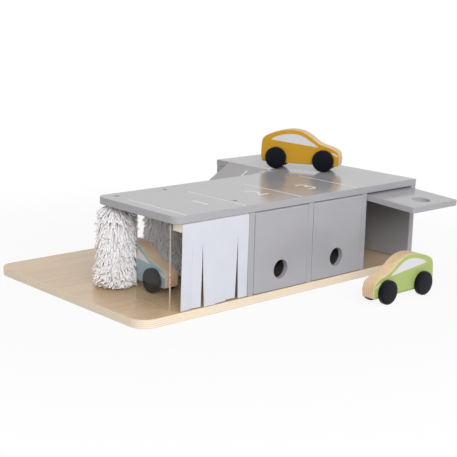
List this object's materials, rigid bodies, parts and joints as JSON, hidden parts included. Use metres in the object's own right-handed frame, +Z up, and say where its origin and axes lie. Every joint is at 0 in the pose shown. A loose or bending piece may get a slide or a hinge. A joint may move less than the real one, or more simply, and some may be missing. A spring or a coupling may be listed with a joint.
{
  "type": "toy garage",
  "caption": "Wooden toy garage: car wash with brushes and curtain, bays behind tilting doors, roof deck with ramp, and wooden toy cars.",
  "frame": {"origin": "centre of the base board's underside, on the floor", "axes": "+X along the front from the car wash to the bays, +Y from the front to the back, +Z up"},
  "size_m": [0.6, 0.5291, 0.2284],
  "materials": {
    "birch_plywood": "clear satin lacquer",
    "grey_paint": "semi-gloss grey paint",
    "light_wood": "bare, sanded",
    "black_plastic": "satin black",
    "dark_steel": "blackened",
    "white_yarn": "soft white yarn",
    "white_felt": "white felt",
    "clear_acrylic": "clear, slightly milky, polished edges",
    "yellow_paint": "yellow paint on the sides, bare wood on the edge",
    "green_paint": "green paint on the sides, bare wood on the edge",
    "blue_paint": "grey-blue paint on the sides, bare wood on the edge"
  },
  "bodies": {
    "garage": {"base_board": "birch_plywood", "roof_deck": "grey_paint", "divider_1": "grey_paint", "divider_2": "grey_paint", "divider_3": "grey_paint", "right_wall": "grey_paint", "back_wall": "grey_paint", "platform_wall": "grey_paint", "ramp": "grey_paint", "wash_window": "clear_acrylic", "curtain_batten": "light_wood", "divider_screw": "dark_steel", "brush_1_top_screw": "dark_steel", "brush_1_bottom_screw": "dark_steel", "brush_2_top_screw": "dark_steel", "brush_2_bottom_screw": "dark_steel"},
    "door_1_pins": {"door_1_left_pin": "dark_steel", "door_1_right_pin": "dark_steel"},
    "door_1": {"door_1": "grey_paint"},
    "door_2_pins": {"door_2_left_pin": "dark_steel", "door_2_right_pin": "dark_steel"},
    "door_2": {"door_2": "grey_paint"},
    "door_3_pins": {"door_3_left_pin": "dark_steel", "door_3_right_pin": "dark_steel"},
    "door_3": {"door_3": "grey_paint"},
    "curtain": {"wash_curtain": "white_felt"},
    "brush_1": {"brush_1_spindle": "light_wood", "brush_1_yarn": "white_yarn"},
    "brush_2": {"brush_2_spindle": "light_wood", "brush_2_yarn": "white_yarn"},
    "yellow_car": {"yellow_car_body": "yellow_paint"},
    "yellow_car_rear_wheels": {"yellow_car_rear_axle": "dark_steel", "yellow_car_rear_left_wheel": "black_plastic", "yellow_car_rear_right_wheel": "black_plastic"},
    "yellow_car_front_wheels": {"yellow_car_front_axle": "dark_steel", "yellow_car_front_left_wheel": "black_plastic", "yellow_car_front_right_wheel": "black_plastic"},
    "green_car": {"green_car_body": "green_paint"},
    "green_car_rear_wheels": {"green_car_rear_axle": "dark_steel", "green_car_rear_left_wheel": "black_plastic", "green_car_rear_right_wheel": "black_plastic"},
    "green_car_front_wheels": {"green_car_front_axle": "dark_steel", "green_car_front_left_wheel": "black_plastic", "green_car_front_right_wheel": "black_plastic"},
    "blue_car": {"blue_car_body": "blue_paint"},
    "blue_car_rear_wheels": {"blue_car_rear_axle": "dark_steel", "blue_car_rear_left_wheel": "black_plastic", "blue_car_rear_right_wheel": "black_plastic"},
    "blue_car_front_wheels": {"blue_car_front_axle": "dark_steel", "blue_car_front_left_wheel": "black_plastic", "blue_car_front_right_wheel": "black_plastic"}
  },
  "joints": [
    {"name": "door_1_slide", "type": "slide", "parent": "garage", "child": "door_1_pins", "axis": [0, 1, 0], "range_m": [0, 0.118]},
    {"name": "door_1_swing", "type": "hinge", "parent": "door_1_pins", "child": "door_1", "pos_m": [-0.02595, -0.1926, 0.1392], "axis": [-1, 0, 0], "range_deg": [0, 86.6]},
    {"name": "door_2_slide", "type": "slide", "parent": "garage", "child": "door_2_pins", "axis": [0, 1, 0], "range_m": [0, 0.118]},
    {"name": "door_2_swing", "type": "hinge", "parent": "door_2_pins", "child": "door_2", "pos_m": [0.10215, -0.1926, 0.1392], "axis": [-1, 0, 0], "range_deg": [0, 86.6]},
    {"name": "door_3_slide", "type": "slide", "parent": "garage", "child": "door_3_pins", "axis": [0, 1, 0], "range_m": [-0.021, 0.097]},
    {"name": "door_3_swing", "type": "hinge", "parent": "door_3_pins", "child": "door_3", "pos_m": [0.23025, -0.1716, 0.1392], "axis": [-1, 0, 0], "range_deg": [-86.6, 0]},
    {"name": "curtain_swing", "type": "hinge", "parent": "garage", "child": "curtain", "pos_m": [-0.161, -0.1963, 0.1432], "axis": [-1, 0, 0], "range_deg": [0, 80]},
    {"name": "brush_1_spin", "type": "hinge", "parent": "garage", "child": "brush_1", "pos_m": [-0.214, -0.0215, 0.08], "axis": [0, 0, 1], "continuous": true, "deforming": ["brush_1_yarn"]},
    {"name": "brush_2_spin", "type": "hinge", "parent": "garage", "child": "brush_2", "pos_m": [-0.1195, -0.0225, 0.08], "axis": [0, 0, 1], "continuous": true, "deforming": ["brush_2_yarn"]},
    {"name": "yellow_car_roll", "type": "slide", "parent": "garage", "child": "yellow_car", "axis": [0.4733, -0.8809, 0], "range_m": [-0.03, 0.08]},
    {"name": "yellow_car_rear_wheels_turn", "type": "hinge", "parent": "yellow_car", "child": "yellow_car_rear_wheels", "pos_m": [0.1852, 0.029, 0.1764], "axis": [0.8809, 0.4733, 0], "continuous": true},
    {"name": "yellow_car_front_wheels_turn", "type": "hinge", "parent": "yellow_car", "child": "yellow_car_front_wheels", "pos_m": [0.22685, -0.04852, 0.1764], "axis": [0.8809, 0.4733, 0], "continuous": true},
    {"name": "green_car_roll", "type": "slide", "parent": "garage", "child": "green_car", "axis": [-1, 0, 0], "range_m": [-0.15, 0.15]},
    {"name": "green_car_rear_wheels_turn", "type": "hinge", "parent": "green_car", "child": "green_car_rear_wheels", "pos_m": [0.1693, -0.31, 0.0195], "axis": [0, -1, 0], "continuous": true},
    {"name": "green_car_front_wheels_turn", "type": "hinge", "parent": "green_car", "child": "green_car_front_wheels", "pos_m": [0.0813, -0.31, 0.0195], "axis": [0, -1, 0], "continuous": true},
    {"name": "blue_car_roll", "type": "slide", "parent": "garage", "child": "blue_car", "axis": [0, -1, 0], "range_m": [-0.18, 0.07]},
    {"name": "blue_car_rear_wheels_turn", "type": "hinge", "parent": "blue_car", "child": "blue_car_rear_wheels", "pos_m": [-0.1805, -0.0021, 0.0335], "axis": [1, 0, 0], "continuous": true},
    {"name": "blue_car_front_wheels_turn", "type": "hinge", "parent": "blue_car", "child": "blue_car_front_wheels", "pos_m": [-0.1805, -0.0901, 0.0335], "axis": [1, 0, 0], "continuous": true}
  ],
  "couplings": [
    {"joint": "yellow_car_rear_wheels_turn", "follows": "yellow_car_roll", "rad_per_m": 51.282},
    {"joint": "yellow_car_front_wheels_turn", "follows": "yellow_car_roll", "rad_per_m": 51.282},
    {"joint": "green_car_rear_wheels_turn", "follows": "green_car_roll", "rad_per_m": 51.282},
    {"joint": "green_car_front_wheels_turn", "follows": "green_car_roll", "rad_per_m": 51.282},
    {"joint": "blue_car_rear_wheels_turn", "follows": "blue_car_roll", "rad_per_m": 51.282},
    {"joint": "blue_car_front_wheels_turn", "follows": "blue_car_roll", "rad_per_m": 51.282}
  ]
}
